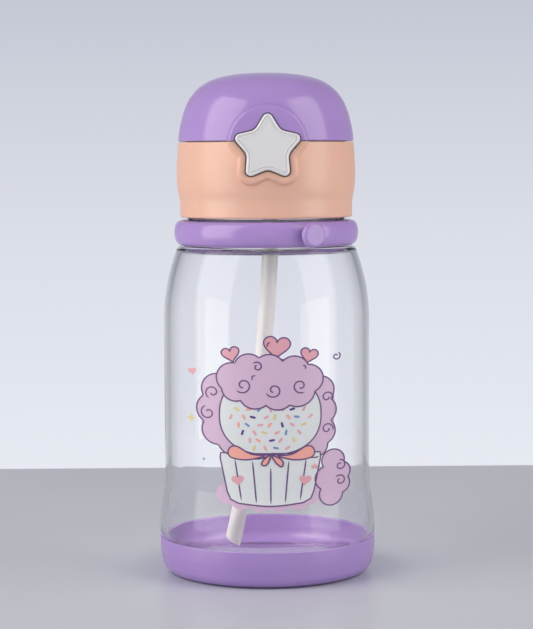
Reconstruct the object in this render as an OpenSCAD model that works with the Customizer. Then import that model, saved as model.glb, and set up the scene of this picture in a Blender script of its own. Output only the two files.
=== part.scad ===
// Kids water bottle with a pop-up lid, a star button and a swivel strap ring.
// Origin at the centre of the base, +Z up, the star faces -Y. Millimetres.

/* [Bottle] */
// Radius of the bottle at its foot, flush with the boot
foot_r = 39.8; // [39.2:0.1:40.4]
// Radius of the bottle's straight barrel
barrel_r = 37.85; // [37.4:0.05:38.2]
// Height at which the shoulder starts to curve in
shoulder_z = 93; // [88:1:94]
// Radius of the shoulder's arc, seen from the side
shoulder_arc = 74; // [72:1:78]
// Height of the shoulder's top edge
neck_base_z = 120.4; // [120.1:0.1:120.4]
// Height of the neck's rim
neck_rim_z = 146.3; // [145.5:0.1:146.3]
// Wall thickness of the bottle
wall = 2.2; // [1.8:0.1:2.4]

/* [Boot] */
// Height of the boot's rim
boot_h = 13.5; // [11:0.5:15]
// Wall thickness of the boot
boot_wall = 1.8; // [1.6:0.1:2]

/* [Cap] */
// Height of the collar's lower edge
collar_z = 131; // [130.9:0.05:131.2]
// Height of the parting line between the collar and the lid
parting_z = 158.4; // [158.2:0.1:158.6]
// Height of the top of the lid
lid_top_z = 183.5; // [183:0.1:186]
// Thickness of the deck under the lid
deck_t = 1.5; // [1.2:0.1:1.5]

/* [Thread] */
// Rise of the cap's thread in one turn
pitch = 4; // [3.8:0.1:4.2]
// Length of the thread, in turns
thread_turns = 1.25; // [1:0.05:1.3]

/* [Star button] */
// Reach of the star's arms
star_r = 11.9; // [11.6:0.1:12.2]
// Radius of the arm tips
star_tip = 1.8; // [1.6:0.1:2]
// Distance from the star's centre to the bottom of a notch
star_notch = 7.95; // [7.8:0.05:8.2]
// Height of the star's centre
star_z = 156.1; // [155.8:0.1:156.3]
// Travel of the button
travel = 1.9; // [1.7:0.05:1.9]

/* [Straw] */
// Outer radius of the straw
straw_r = 3; // [2.8:0.1:3.2]
// Radius of the bow that the straw hangs in
straw_bow = 620; // [580:10:800]

/* [Hidden] */
$fn = 96;

// Colours
clear = [0.80, 0.85, 0.88, 0.35];
lilac = [0.66, 0.53, 0.80];
peach = [0.91, 0.74, 0.65];
silver_grey = [0.83, 0.83, 0.85];
white = [0.95, 0.95, 0.94];
silicone = [0.93, 0.92, 0.90];
steel = [0.70, 0.71, 0.73];

// Clearances
fit_gap = 0.05;
slide_gap = 0.3;
part_gap = 0.17;
seam = 0.1;
eps = 0.01;

// Neck, ring and thread
neck_out = 27.4;
neck_in = 25.4;
ring_seat_r = 28.3;
bead_r = 28.95;
bead_z = 130.2;
bead_h = 0.9;
shoulder_t = 1.3;
ring_in = ring_seat_r + slide_gap;
ring_h = 9.1;
ring_z = neck_base_z + 0.4;
ring_mid = ring_z + ring_h / 2;
ring_out = 33.85;
ring_edge = 1.2;
thread_z = 134.6;
male_depth = 1.2;
male_base = 1.8;
male_crest = 1.0;
female_depth = 1.1;
female_base = 1.6;
female_crest = 0.8;
thread_play = 0.25;
cap_root = neck_out + male_depth + 0.25;
cap_out = 30;
thread_steps = 24;

// Deck and collar
deck_z = 148.1;
deck_top = deck_z + deck_t;
collar_in = cap_out + fit_gap;
collar_top = parting_z - part_gap;
lid_z = parting_z + part_gap;
lid_r = 32.2;
lid_wall = 1.7;

// Boss and star
boss_r = 14.2;
boss_z = 157.1;
boss_y = -33.8;
boss_bevel = 1.3;
border_w = 3.2;
star_face_y = -35;
star_back_y = -32.4;
star_gap = 0.35;
notch_fillet = 3.8;

// Latch
tongue_y = -25.2;
tongue_t = 1.8;
tongue_w = 9.6;
lip = 1.6;
lip_t = 1.2;
lip_z = 150.2;
slide_z = lip_z + lip_t + slide_gap;
slide_t = 2.4;
slide_w = 16;
window_w = 10.6;
window_front = tongue_y - travel - 0.7;
window_back = tongue_y + tongue_t + slide_gap;
bar = 2.5;
plate_y = -29.1;
plate_w = 12;
plate_top = 157.4;
spring_wall_y = -14.2;
spring_z = slide_z + slide_t / 2;
latch_coil_r = 1.15;
cover_z = slide_z + slide_t + slide_gap;
cover_t = 1.2;
rail_x = slide_w / 2 + slide_gap;
rail_t = 1.6;
screw_x = 13.4;
screw_y = -17.5;

// Hinge
hinge_y = 34.2;
hinge_z = parting_z;
knuckle_r = 2.6;
pin_r = 1;
pin_len = 20.4;
ear_x = 7.1;
ear_w = 3.1;
lid_knuckle_x = 4;
lid_knuckle_w = 2.8;
coil_space = 3.8;

// Spout
spout_r = 5;
spout_top = 175;
spout_bore = 2.6;
flange_r = 8;
pocket_r = 10.6;
pocket_wall = 1.4;
pocket_top = 176.4;
liner_plate_z = 160.4;
liner_plate_t = 1.4;
barb_x = 2;
straw_top_z = 145.4;
straw_bore = 2.2;
straw_end_z = 9;

// Strap studs
stud_turn = 26.5;
stud_head_r = 4.4;
stud_neck_r = 2.6;
stud_head_t = 2.2;
stud_tip = 37.2;

function arc(c, r, from, to, n) =
    [for (i = [0:n]) c + r * [cos(from + (to - from) * i / n), sin(from + (to - from) * i / n)]];

// One point of a smooth curve through four neighbours
function bend(a, b, c, d, t) =
    ((2 * b) + (c - a) * t + (2 * a - 5 * b + 4 * c - d) * t * t
        + (3 * b - a - 3 * c + d) * t * t * t) / 2;

// A smooth outline through a few points
function smooth(p, n) = let (last = len(p) - 1)
    [for (i = [0:last - 1], k = [0:n - 1])
        bend(p[max(i - 1, 0)], p[i], p[i + 1], p[min(i + 2, last)], k / n), p[last]];

function backwards(p) = [for (i = [len(p) - 1:-1:0]) p[i]];

// Star outline grown by g: round tips joined to round notches by straight flanks
function star(g = 0, n = 6) = let (
        tip = [0, star_r - star_tip],
        notch = (star_notch + notch_fillet) * [cos(54), sin(54)],
        across = notch - tip,
        turn = acos((star_tip + notch_fillet) / norm(across)) + atan2(across.y, across.x) - 90)
    [for (k = [0:4]) let (a = 90 - 72 * k)
        each concat(
            arc((star_r - star_tip) * [cos(a), sin(a)], star_tip + g, a - turn, a + turn, n),
            arc((star_notch + notch_fillet) * [cos(a - 36), sin(a - 36)], notch_fillet - g,
                a + turn + 180, a - 72 - turn + 180, n))];

// A turned solid from an outline of [radius, height] points
module turned(outline) {
    rotate_extrude() polygon(outline);
}

// A star-shaped prism between two depths along Y
module star_prism(g, front, back) {
    translate([0, front, star_z]) rotate([-90, 0, 0])
        mirror([0, 1, 0]) linear_extrude(back - front) polygon(star(g));
}

// A cylinder along X, centred on x, y, z
module rod_x(r, x, y, z, length) {
    translate([x - length / 2, y, z]) rotate([0, 90, 0]) cylinder(r = r, h = length);
}

// A cylinder along Y from one depth to another
module rod_y(r, x, z, from, to) {
    translate([x, from, z]) rotate([-90, 0, 0]) cylinder(r = r, h = to - from);
}

// A box centred on x, between the depths y0 and y1 and the heights z0 and z1
module block(x, w, y0, y1, z0, z1) {
    translate([x - w / 2, y0, z0]) cube([w, y1 - y0, z1 - z0]);
}

// A ridge that climbs round the Z axis: root radius, height, widths, start height and turn
module thread_ridge(root, crest, base_w, crest_w, start, turns, first = 0) {
    n = round(turns * thread_steps);
    rings = [for (i = [0:n]) let (
            a = first + 360 * turns * i / n,
            z = start + pitch * a / 360,
            grow = min(1, min(i, n - i) / 3 + 0.05))
        each [for (q = [[root, -base_w], [root + (crest - root) * grow, -crest_w],
                [root + (crest - root) * grow, crest_w], [root, base_w]])
            [q.x * cos(a), q.x * sin(a), z + q.y / 2]]];
    sides = [for (i = [0:n - 1], k = [0:3]) let (m = 4 * i, j = (k + 1) % 4)
        each [[m + k, m + 4 + k, m + j], [m + j, m + 4 + k, m + 4 + j]]];
    flip = crest > root;
    faces = concat(sides, [[0, 1, 2, 3], [4 * n + 3, 4 * n + 2, 4 * n + 1, 4 * n]]);
    polyhedron(rings, flip ? [for (f = faces) backwards(f)] : faces);
}

// Outline of the bottle above the boot, from the foot up along the shoulder to a height
function bottle_side(inset, top) = let (
        flare_top = 36, flare_bottom = 16,
        centre = barrel_r - shoulder_arc,
        end = asin((top - shoulder_z) / (shoulder_arc - inset)))
    concat(
        [for (i = [0:10]) let (t = 1 - i / 10)
            [barrel_r - inset + (foot_r - barrel_r) * t * t * (3 - 2 * t),
                flare_top + (flare_bottom - flare_top) * t]],
        arc([centre, shoulder_z], shoulder_arc - inset, 0, end, 12));

// The same outline run into a level top at a height, over an edge of radius r
function shoulder_edge(inset, top, r) = let (
        arc_r = shoulder_arc - inset,
        turn = asin((top - r - shoulder_z) / (arc_r - r)),
        centre = [barrel_r - shoulder_arc + (arc_r - r) * cos(turn), top - r])
    concat(bottle_side(inset, shoulder_z + arc_r * sin(turn)), arc(centre, r, turn, 90, 5));

module bottle_body() {
    recess_r = foot_r - boot_wall - fit_gap;
    floor_z = 2.2;
    shoulder_in = neck_base_z - shoulder_t;
    outside = concat(
        [[0, floor_z + 1.2], [22, floor_z + 1.2], [25, floor_z]],
        arc([recess_r - 5.5, floor_z + 5.5], 5.5, -90, 0, 6),
        [[recess_r, boot_h + seam], [foot_r - 0.2, boot_h + seam], [foot_r, boot_h + seam + 0.2]],
        shoulder_edge(0, neck_base_z, 1.8),
        [[ring_seat_r, neck_base_z], [ring_seat_r, bead_z], [bead_r, bead_z + 0.3],
            [bead_r, bead_z + bead_h - 0.3], [neck_out, bead_z + bead_h], [neck_out, neck_rim_z - 0.4],
            [neck_out - 0.4, neck_rim_z]]);
    inside = concat(
        [[0, floor_z + wall + 1.4], [22, floor_z + wall + 1.4], [25, floor_z + wall + 0.2]],
        arc([recess_r - wall - 4.4, floor_z + wall + 4.4], 4.4, -90, 0, 6),
        [[recess_r - wall, boot_h + 1]],
        shoulder_edge(wall, shoulder_in, 2),
        arc([neck_in + 2, shoulder_in + 2], 2, 270, 180, 5),
        [[neck_in, neck_rim_z]]);
    color(clear) {
        turned(concat(outside, backwards(inside)));
        thread_ridge(neck_out - 0.5, neck_out + male_depth, male_base + 0.5, male_crest, thread_z,
            thread_turns);
    }
}

module base_boot() {
    outside = smooth([[33, 0], [36.2, 0.7], [38.3, 2.6], [39.1, 5.2], [foot_r, 8.5]], 5);
    inner_r = foot_r - boot_wall;
    inner_z = 2;
    color(lilac) turned(concat(
        [[0, 1.2], [22, 1.2], [24, 0]],
        outside,
        [[foot_r, boot_h - 0.3], [foot_r - 0.3, boot_h], [inner_r, boot_h]],
        arc([inner_r - 5.5, inner_z + 5.5], 5.5, 0, -90, 6),
        [[25, inner_z], [22, inner_z + 1.2], [0, inner_z + 1.2]]));
}

module strap_ring() {
    belly = ring_out - 32.5;
    half = ring_h / 2;
    belly_r = (belly * belly + half * half) / (2 * belly);
    swing = asin((half - ring_edge) / belly_r);
    color(lilac) difference() {
        turned(concat(
            [[ring_in, ring_z + 0.4], [ring_in + 0.4, ring_z], [32.5 - ring_edge * 0.9, ring_z]],
            arc([ring_out - belly_r, ring_mid], belly_r, -swing, swing, 8),
            [[32.5 - ring_edge * 0.9, ring_z + ring_h], [ring_in + 0.4, ring_z + ring_h],
                [ring_in, ring_z + ring_h - 0.4]]));
        strap_stud_places() rotate([0, 90, 0]) cylinder(r = stud_neck_r - 0.6 + fit_gap, h = 50);
    }
}

// The two opposite places of the strap studs round the ring
module strap_stud_places() {
    for (side = [0, 180]) rotate([0, 0, stud_turn - 90 + side]) translate([0, 0, ring_mid])
        children();
}

module strap_studs() {
    shank_r = stud_neck_r - 0.6;
    head_base = stud_tip - stud_head_t;
    color(lilac) strap_stud_places() rotate([0, 90, 0]) turned(concat(
        [[0, ring_in + 0.5], [shank_r, ring_in + 0.5], [shank_r, ring_out + 0.1],
            [stud_neck_r, ring_out + 0.1], [stud_neck_r, head_base],
            [stud_head_r - 0.3, head_base], [stud_head_r, head_base + 0.3]],
        arc([stud_head_r - 1.2, stud_tip - 1.2], 1.2, 0, 90, 5),
        [[0, stud_tip]]));
}

module collar_outline() {
    side = smooth([[31.6, collar_z + 0.9], [31.55, 134.6], [31.7, 137.6], [32.35, 141], [32.7, 144.5],
        [32.75, 149], [32.5, 153], [lid_r, collar_top - 0.5]], 4);
    turned(concat(
        [[collar_in, collar_z + 0.4], [collar_in + 0.4, collar_z], [30.95, collar_z],
            [31.4, collar_z + 0.4]],
        side, [[lid_r - 0.4, collar_top], [collar_in, collar_top]]));
}

module collar_shell() {
    color(peach) difference() {
        union() {
            collar_outline();
            intersection() {
                star_prism(border_w, boss_y, -29);
                block(0, 60, -40, 0, 140, collar_top);
            }
            hinge_ears();
        }
        translate([0, 0, collar_z - 1]) cylinder(r = collar_in, h = 40);
        star_prism(star_gap, -36, -27);
        knuckle_room(0, 2 * ear_x - 0.02);
        rod_x(pin_r + 0.02, 0, hinge_y, hinge_z, 30);
        block(0, 2 * coil_space, 29, 33, hinge_z - 2.2, hinge_z + 1);
    }
}

// The two ears of the collar that hold the hinge pin
module hinge_ears() {
    for (side = [-1, 1]) {
        rod_x(knuckle_r, side * (ear_x + ear_w / 2), hinge_y, hinge_z, ear_w);
        translate([side * (ear_x + ear_w / 2) - ear_w / 2, 0, 0]) rotate([90, 0, 90])
            linear_extrude(ear_w) polygon([[31, 150], [32.2, 150], [hinge_y + knuckle_r, 156],
                [hinge_y + knuckle_r, hinge_z], [31, hinge_z]]);
    }
}

// Round room about the hinge axis, for parts that turn in it
module knuckle_room(x, w) {
    rod_x(knuckle_r + slide_gap, x, hinge_y, hinge_z, w);
}

module inner_cap() {
    skirt_z = 131.6;
    color(white) {
        difference() {
            turned([[cap_root, skirt_z + 0.5], [cap_root + 0.4, skirt_z], [cap_out - 0.3, skirt_z],
                [cap_out, skirt_z + 0.3], [cap_out, deck_top], [0, deck_top], [0, deck_z],
                [cap_root, deck_z]]);
            translate([0, 0, deck_z - 1]) cylinder(r = spout_r + 0.2, h = 5);
            vent_place() cylinder(r = 1.2 + fit_gap, h = 5);
            cover_screw_places() translate([0, 0, -1]) cylinder(r = 0.85, h = 5);
        }
        thread_ridge(cap_root + 0.3, cap_root - female_depth, female_base + 0.3, female_crest,
            thread_z - female_drop(), thread_turns - 0.1, 20);
        for (side = [-1, 1]) translate([side * screw_x, screw_y, deck_top - eps]) difference() {
            cylinder(r = 2, h = cover_z - deck_top + eps);
            translate([0, 0, -1]) cylinder(r = 0.85, h = 8);
        }
    }
}

// How far the cap's thread lies under the bottle's thread
function female_drop() = male_base / 2 + female_base / 2 - 0.35 + thread_play;

module vent_place() {
    translate([0, 17, deck_z - 1]) children();
}

module cover_screw_places() {
    for (side = [-1, 1]) translate([side * screw_x, screw_y, deck_z]) children();
}

module neck_gasket() {
    color(silicone) turned([[24.7, neck_rim_z - 1.6], [25.1, neck_rim_z - 1.6],
        [25.25, neck_rim_z + fit_gap], [cap_root - 0.5, neck_rim_z + fit_gap],
        [cap_root - 0.5, deck_z - 0.02], [24.7, deck_z - 0.02]]);
}

module mouthpiece() {
    tip = smooth([[spout_r, 153], [4.5, 162], [4.3, 167.5], [4.9, 170.5], [4.7, 172.8],
        [3.6, 174.5], [2.2, spout_top]], 4);
    color(silicone) turned(concat(
        [[spout_bore, deck_z - 1.2], [6.6, deck_z - 1.2], [6.6, deck_z], [spout_r + 0.15, deck_z],
            [spout_r + 0.15, deck_top], [flange_r, deck_top], [flange_r, deck_top + 1.2],
            [flange_r - 0.4, deck_top + 1.6], [spout_r, deck_top + 1.6]],
        tip, [[1.2, spout_top], [1.2, 161], [spout_bore, 159]]));
}

module straw_connector() {
    flange_z = deck_z - 1.3;
    color(white) difference() {
        union() {
            translate([0, 0, flange_z - 1.2]) cylinder(r = 5.2, h = 1.2);
            translate([0, 0, flange_z - 0.6]) cylinder(r = spout_bore - fit_gap, h = 11);
            translate([barb_x, 0, straw_top_z - 5.6]) cylinder(r = straw_bore - fit_gap, h = 6);
        }
        translate([0, 0, flange_z - 0.6]) cylinder(r = 1.6, h = 12);
        translate([barb_x, 0, straw_top_z - 6]) cylinder(r = 1.5, h = 6.5 + flange_z - straw_top_z - 0.8);
    }
}

module straw() {
    sweep = (straw_top_z - straw_end_z) / straw_bow * 180 / PI;
    color(silicone) difference() {
        translate([barb_x - straw_bow, 0, straw_top_z]) rotate([-90, 0, 0])
            rotate_extrude(angle = sweep, $fn = 720) translate([straw_bow, 0]) difference() {
                circle(r = straw_r, $fn = 48);
                circle(r = straw_bore, $fn = 48);
            }
        translate([-straw_bow * (1 - cos(sweep)) + barb_x, 0, straw_end_z + 2]) rotate([0, 30, 0])
            translate([0, 0, -6]) cube([20, 12, 12], center = true);
    }
}

module vent_valve() {
    color(silicone) vent_place() turned([[0, 0.1], [3.2, 0.1], [3.2, 0.6], [2.6, 1],
        [1.2, 1], [1.2, 1 + deck_t], [2, 1 + deck_t], [2, 1.6 + deck_t], [1.4, 2.2 + deck_t],
        [0, 2.2 + deck_t]]);
}

module latch_cover() {
    rear_y = spring_wall_y + 2;
    color(white) {
        difference() {
            intersection() {
                translate([0, 0, cover_z]) cylinder(r = 27.2, h = cover_t);
                block(0, 60, -27, rear_y, cover_z, cover_z + cover_t);
            }
            block(0, slide_w + 1, -30, window_back, cover_z - 1, cover_z + 3);
            cover_screw_places() cylinder(r = 1.1, h = 10);
        }
        for (side = [-1, 1])
            block(side * (rail_x + rail_t / 2), rail_t, -24, rear_y, deck_top + 0.02, cover_z + eps);
        block(0, 2 * rail_x + rail_t, spring_wall_y, rear_y, deck_top + 0.02, cover_z + eps);
        rod_y(0.75, 0, spring_z, spring_wall_y - 1.8, spring_wall_y + eps);
    }
}

module cover_screws() {
    color(steel) cover_screw_places() difference() {
        union() {
            translate([0, 0, 0.6]) cylinder(r = 0.82, h = cover_z + cover_t - deck_z);
            translate([0, 0, cover_z + cover_t - deck_z]) cylinder(r = 1.9, h = 0.9);
        }
        translate([0, 0, cover_z + cover_t - deck_z + 0.4]) for (a = [0, 90]) rotate([0, 0, a])
            translate([-1.2, -0.25, 0]) cube([2.4, 0.5, 1]);
    }
}

module latch_slider() {
    back = window_back + bar;
    color(white) {
        difference() {
            block(0, slide_w, plate_y + 0.9, back, slide_z, slide_z + slide_t);
            block(0, window_w, window_front, window_back, slide_z - 1, slide_z + slide_t + 1);
        }
        block(0, plate_w, plate_y, window_front, slide_z, plate_top);
        for (side = [-1, 1])
            block(side * (slide_w / 2 - 1), 2, plate_y + 0.9, back, deck_top + 0.1, slide_z + eps);
    }
}

// A round wire swept through [place, outward direction] pairs, with its second side along `along`
module wire(path, r, along, sides = 8) {
    rings = [for (p = path, k = [0:sides - 1])
        p[0] + r * (cos(360 * k / sides) * p[1] + sin(360 * k / sides) * along)];
    n = len(path) - 1;
    skin = [for (i = [0:n - 1], k = [0:sides - 1]) let (m = sides * i, j = (k + 1) % sides)
        each [[m + k, m + j, m + sides + k], [m + j, m + sides + j, m + sides + k]]];
    start = [for (k = [sides - 1:-1:0]) k];
    end = [for (k = [0:sides - 1]) sides * n + k];
    polyhedron(rings, concat(skin, [start, end]));
}

module latch_spring() {
    turns = 5;
    steps = 16;
    from = window_back + bar + 0.25;
    to = spring_wall_y - 0.25;
    path = [for (i = [0:turns * steps]) let (a = 360 * i / steps, out = [cos(a), 0, sin(a)])
        [[0, from + (to - from) * i / (turns * steps), spring_z] + latch_coil_r * out, out]];
    color(steel) wire(path, 0.2, [0, -1, 0]);
}

module lid_spring() {
    turns = 4.5;
    steps = 16;
    coil_r = 1.55;
    reach = 6.4;
    half = 2.7;
    leg = [0, -reach, 0];
    low = [0, 0, -1];
    high = [0, 0, 1];
    centre = [0, hinge_y, hinge_z];
    coil = [for (i = [0:turns * steps])
        let (a = -90 - 360 * i / steps, out = [0, -cos(a), sin(a)])
        [centre + [half * (2 * i / (turns * steps) - 1), 0, 0] + coil_r * out, out]];
    path = concat([[centre + [-half, 0, 0] + coil_r * low + leg, low]], coil,
        [[centre + [half, 0, 0] + coil_r * high + leg, high]]);
    color(steel) wire(path, 0.28, [1, 0, 0]);
}

module star_button() {
    color(silver_grey) {
        star_prism(0, star_face_y, star_back_y);
        block(0, 11, star_back_y - eps, plate_y, slide_z + 0.2, plate_top);
    }
}

module hinge_pin() {
    color(steel) rod_x(pin_r, 0, hinge_y, hinge_z, pin_len);
}

// Side of the lid from its lower edge to its crown, moved in by a wall thickness
function lid_side(inset = 0) = let (rise = lid_top_z - lid_z)
    smooth([for (q = [[lid_r, 0, 1, 0], [31.85, 0.137, 1, 0], [31.1, 0.285, 1, 0.1],
            [29.9, 0.455, 0.95, 0.3], [27.9, 0.625, 0.8, 0.6], [24.7, 0.776, 0.55, 0.85],
            [20.4, 0.886, 0.35, 0.94], [14.2, 0.959, 0.15, 1], [7.1, 0.992, 0.05, 1], [0, 1, 0, 1]])
        [q[0] - inset * q[2], lid_z + rise * q[1] - inset * q[3]]], 4);

module lid_shell() {
    arm_z = star_z + (star_r - star_tip) * sin(18);
    arm_x = (star_r - star_tip) * cos(18) + star_tip + star_gap;
    color(lilac) difference() {
        union() {
            turned(concat([[0, lid_z]], lid_side()));
            intersection() {
                union() {
                    rod_y(boss_r, 0, boss_z, boss_y + boss_bevel, -20);
                    translate([0, boss_y, boss_z]) rotate([-90, 0, 0])
                        cylinder(r1 = boss_r - boss_bevel, r2 = boss_r, h = boss_bevel + eps);
                }
                block(0, 60, -40, 0, lid_z, lid_top_z);
            }
            lid_knuckles();
        }
        turned(concat([[0, lid_z - 1], [lid_r - lid_wall, lid_z - 1]], lid_side(lid_wall)));
        star_prism(star_gap, -36, -27);
        block(0, 2 * arm_x, -36, -27, star_z, arm_z);
        for (side = [-1, 1]) knuckle_room(side * (ear_x + ear_w / 2), ear_w + 0.6);
        knuckle_room(0, 2 * coil_space);
        block(0, 2 * coil_space, 28, 33, lid_z - 1, hinge_z + 2.2);
        rod_x(pin_r + 0.06, 0, hinge_y, hinge_z, 30);
    }
}

module lid_knuckles() {
    for (side = [-1, 1]) let (x = side * (lid_knuckle_x + lid_knuckle_w / 2)) {
        rod_x(knuckle_r, x, hinge_y, hinge_z, lid_knuckle_w);
        translate([x - lid_knuckle_w / 2, 0, 0]) rotate([90, 0, 90]) linear_extrude(lid_knuckle_w)
            polygon([[30.6, lid_z], [hinge_y, lid_z], [hinge_y + knuckle_r - 0.2, lid_z + 0.6],
                [30.8, lid_z + 7], [29.8, lid_z + 7]]);
    }
}

module lid_liner() {
    skirt_out = 29;
    skirt_t = 1.4;
    skirt_z = parting_z - 1.8;
    plate_z2 = liner_plate_z + liner_plate_t;
    color(white) {
        difference() {
            turned([[skirt_out - skirt_t, skirt_z], [skirt_out, skirt_z], [skirt_out, liner_plate_z],
                [29.9, liner_plate_z], [29.9, plate_z2], [pocket_r + pocket_wall, plate_z2],
                [pocket_r + pocket_wall, pocket_top + pocket_wall], [3.05, pocket_top + pocket_wall],
                [3.05, pocket_top], [pocket_r, pocket_top], [pocket_r, liner_plate_z],
                [skirt_out - skirt_t, liner_plate_z]]);
            block(0, 20, -32, -22, skirt_z - 1, liner_plate_z - 0.6);
            block(0, 9, 22, 32, skirt_z - 1, liner_plate_z);
        }
        translate([-tongue_w / 2, 0, 0]) rotate([90, 0, 90]) linear_extrude(tongue_w) polygon([
            [tongue_y, liner_plate_z + 0.5], [tongue_y, lip_z + 0.7], [tongue_y + 0.7, lip_z],
            [tongue_y + tongue_t + 0.5, lip_z], [tongue_y + tongue_t + lip, lip_z + 0.7],
            [tongue_y + tongue_t + lip, lip_z + lip_t], [tongue_y + tongue_t, lip_z + lip_t],
            [tongue_y + tongue_t, liner_plate_z + 0.5]]);
    }
}

module spout_stopper() {
    color(silicone) turned([[0, spout_top + 0.2], [5.6, spout_top + 0.2], [6.5, spout_top + 0.6],
        [6.5, pocket_top - 0.02], [3, pocket_top - 0.02], [3, pocket_top + pocket_wall + 0.02],
        [3.7, pocket_top + pocket_wall + 0.02], [3.2, pocket_top + pocket_wall + 1.2],
        [0, pocket_top + pocket_wall + 1.2]]);
}

bottle_body();
base_boot();
strap_ring();
strap_studs();
collar_shell();
inner_cap();
neck_gasket();
mouthpiece();
straw_connector();
straw();
vent_valve();
latch_cover();
cover_screws();
latch_slider();
latch_spring();
star_button();
hinge_pin();
lid_spring();
lid_shell();
lid_liner();
spout_stopper();
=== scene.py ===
"""Looks of the kids water bottle: clear body, lilac and peach cap, star button, printed picture.

Lengths in the tables below are millimetres; mm() turns them into the frame's metres.
"""

import math

import bmesh
import bpy
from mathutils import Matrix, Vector


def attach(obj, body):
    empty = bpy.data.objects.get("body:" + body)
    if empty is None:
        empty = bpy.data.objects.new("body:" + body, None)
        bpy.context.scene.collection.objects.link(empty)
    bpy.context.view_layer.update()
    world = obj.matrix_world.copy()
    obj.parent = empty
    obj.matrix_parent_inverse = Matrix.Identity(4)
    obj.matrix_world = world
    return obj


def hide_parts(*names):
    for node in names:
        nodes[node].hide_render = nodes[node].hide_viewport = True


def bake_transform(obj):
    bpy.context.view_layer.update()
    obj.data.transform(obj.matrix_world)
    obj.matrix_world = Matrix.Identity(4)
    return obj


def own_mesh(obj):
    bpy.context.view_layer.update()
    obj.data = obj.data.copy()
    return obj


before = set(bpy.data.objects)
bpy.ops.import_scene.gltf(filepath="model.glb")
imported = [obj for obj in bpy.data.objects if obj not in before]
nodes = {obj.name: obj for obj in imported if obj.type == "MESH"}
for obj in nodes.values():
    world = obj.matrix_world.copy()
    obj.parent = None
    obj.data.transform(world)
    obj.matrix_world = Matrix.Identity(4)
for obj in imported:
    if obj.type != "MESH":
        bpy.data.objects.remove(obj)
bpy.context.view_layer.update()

# ---------------------------------------------------------------- sizes, in mm

FOOT_R = 39.8
BARREL_R = 37.85
FLARE = (16.0, 36.0)
SHOULDER_Z = 93.0
SHOULDER_ARC = 74.0
NECK_BASE_Z = 120.4
NECK_RIM_Z = 146.3
NECK_OUT = 27.4
NECK_IN = 25.4
RING_SEAT_R = 28.3
BEAD_R = 28.95
BEAD_Z = 130.2
BEAD_H = 0.9
WALL = 2.2
SHOULDER_T = 1.3
BOOT_H = 13.5
BOOT_WALL = 1.8
RING_Z = 120.8
RING_H = 9.1
RING_MID = RING_Z + RING_H / 2
RING_IN = 28.6
RING_OUT = 33.85
COLLAR_Z = 131.0
COLLAR_TOP = 158.23
COLLAR_IN = 30.05
LID_Z = 158.57
LID_TOP = 183.5
LID_R = 32.2
LID_WALL = 1.7
STAR_R = 11.9
STAR_TIP = 1.8
STAR_NOTCH = 7.95
STAR_FILLET = 3.8
STAR_Z = 156.1
STAR_GAP = 0.35
STAR_FACE_Y = -35.0
STAR_BACK_Y = -32.4
CUT_FRONT = -36
CUT_BACK = -27
BOSS_R = 14.2
BOSS_Z = 157.1
BOSS_Y = -33.8
BORDER_W = 3.2
HINGE_Y = 34.2
HINGE_Z = 158.4
KNUCKLE_R = 2.6
KNUCKLE_ROOM = KNUCKLE_R + 0.3
EAR_X = 8.65
EAR_W = 3.1
LID_KNUCKLE_X = 5.4
LID_KNUCKLE_W = 2.8
COIL_SPACE = 3.8
THREAD_Z = 134.6
PITCH = 4.0
THREAD_TURNS = 1.25
STUD_TURN = 26.5
STUD_TIP = 37.2
STUD_HEAD_R = 4.4
STUD_NECK_R = 2.6

DECK_Z = 148.1
DECK_TOP = 149.6
SPOUT_TOP = 175.0
STRAW_R = 3.0
STRAW_BORE = 2.2
STRAW_BOW = 620.0
STRAW_TOP = 145.4
STRAW_END = 9.0
BARB_X = 2.0
INK_LIFT = 0.03
INK_STEP = 0.045
INK_THICK = 0.03

ROUND = 128


def mm(*values):
    """Millimetres to a vector in metres."""
    return Vector(values) / 1000


# ---------------------------------------------------------------- outlines


def arc(centre, radius, start, end, steps):
    """Points on a circle's arc, angles in degrees."""
    angles = [math.radians(start + (end - start) * i / steps) for i in range(steps + 1)]
    return [(centre[0] + radius * math.cos(a), centre[1] + radius * math.sin(a)) for a in angles]


def smooth(points, steps):
    """A smooth curve through a few points."""
    found = []
    last = len(points) - 1
    for i in range(last):
        a, b, c, d = (Vector(points[j]) for j in (max(i - 1, 0), i, i + 1, min(i + 2, last)))
        for k in range(steps):
            t = k / steps
            bend = (2 * a - 5 * b + 4 * c - d) * t + (3 * b - a - 3 * c + d) * t * t
            found.append(tuple((2 * b + (c - a + bend) * t) / 2))
    return found + [tuple(points[-1])]


def radius_at(outline, z):
    """Radius of an outline at a height, taken between its points."""
    for (r0, z0), (r1, z1) in zip(outline, outline[1:]):
        if min(z0, z1) <= z <= max(z0, z1) and z0 != z1:
            return r0 + (r1 - r0) * (z - z0) / (z1 - z0)
    return outline[0][0] if z < outline[0][1] else outline[-1][0]


def star(grow=0.0, steps=8):
    """Star outline about the origin, moved out by grow: round tips, straight flanks, round notches."""
    reach = STAR_R - STAR_TIP
    bay = STAR_NOTCH + STAR_FILLET
    across = Vector((bay * math.cos(math.radians(54)), bay * math.sin(math.radians(54)) - reach))
    slack = math.degrees(math.acos((STAR_TIP + STAR_FILLET) / across.length))
    turn = slack + math.degrees(math.atan2(across.y, across.x)) - 90
    points = []
    for k in range(5):
        tip = 90 - 72 * k
        where = math.radians(tip)
        middle = (reach * math.cos(where), reach * math.sin(where))
        points += arc(middle, STAR_TIP + grow, tip - turn, tip + turn, steps)
        where = math.radians(tip - 36)
        middle = (bay * math.cos(where), bay * math.sin(where))
        points += arc(middle, STAR_FILLET - grow, tip + turn + 180, tip - 72 - turn + 180, steps)
    return points


# ---------------------------------------------------------------- meshes


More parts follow.
